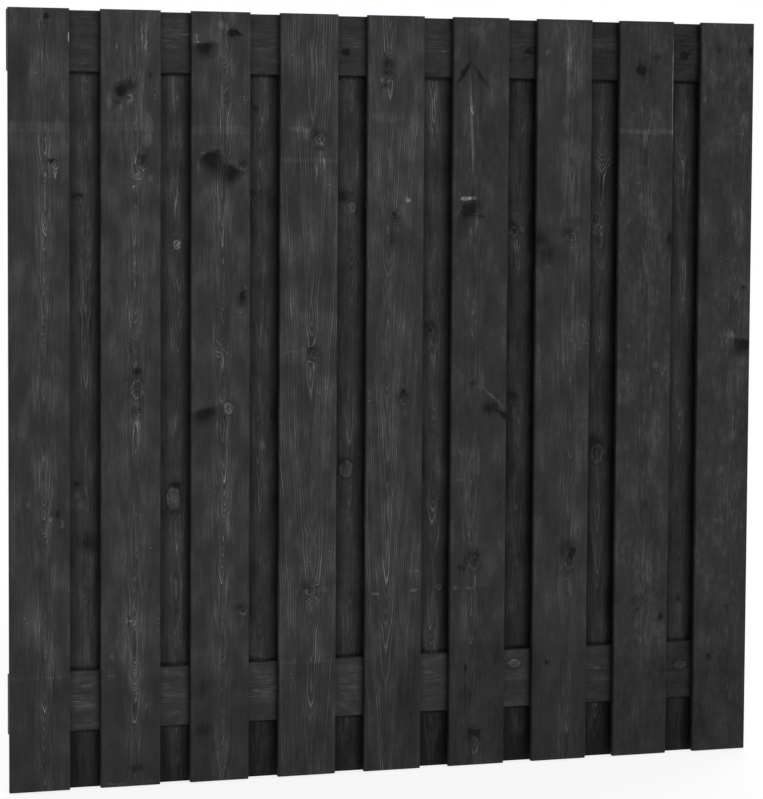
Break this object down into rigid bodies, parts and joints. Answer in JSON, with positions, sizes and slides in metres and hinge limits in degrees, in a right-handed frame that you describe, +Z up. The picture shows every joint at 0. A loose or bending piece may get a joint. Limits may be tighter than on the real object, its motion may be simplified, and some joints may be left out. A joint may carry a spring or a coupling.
{
  "type": "wooden fence panel",
  "caption": "Hit-and-miss garden fence panel: black-stained planed softwood boards fixed upright, alternately on the front and back of horizontal rails.",
  "frame": {"origin": "on the ground, under the middle of the panel's width and depth", "axes": "+Z up, the front faces -Y, +X to the right seen from the front"},
  "size_m": [1.83, 0.048, 1.8],
  "materials": {
    "stained_boards": "planed spruce boards in thin black stain, grain and knots showing through",
    "stained_rails": "planed spruce rails in thin black stain",
    "black_screws": "black-coated countersunk steel wood screws"
  },
  "bodies": {
    "root": {"front_board_1": "stained_boards", "front_board_2": "stained_boards", "front_board_3": "stained_boards", "front_board_4": "stained_boards", "front_board_5": "stained_boards", "front_board_6": "stained_boards", "front_board_7": "stained_boards", "front_board_8": "stained_boards", "front_board_9": "stained_boards", "back_board_1": "stained_boards", "back_board_2": "stained_boards", "back_board_3": "stained_boards", "back_board_4": "stained_boards", "back_board_5": "stained_boards", "back_board_6": "stained_boards", "back_board_7": "stained_boards", "back_board_8": "stained_boards", "top_rail": "stained_rails", "bottom_rail": "stained_rails", "front_board_screws_top": "black_screws", "front_board_screws_bottom": "black_screws", "back_board_screws_top": "black_screws", "back_board_screws_bottom": "black_screws"}
  },
  "joints": []
}
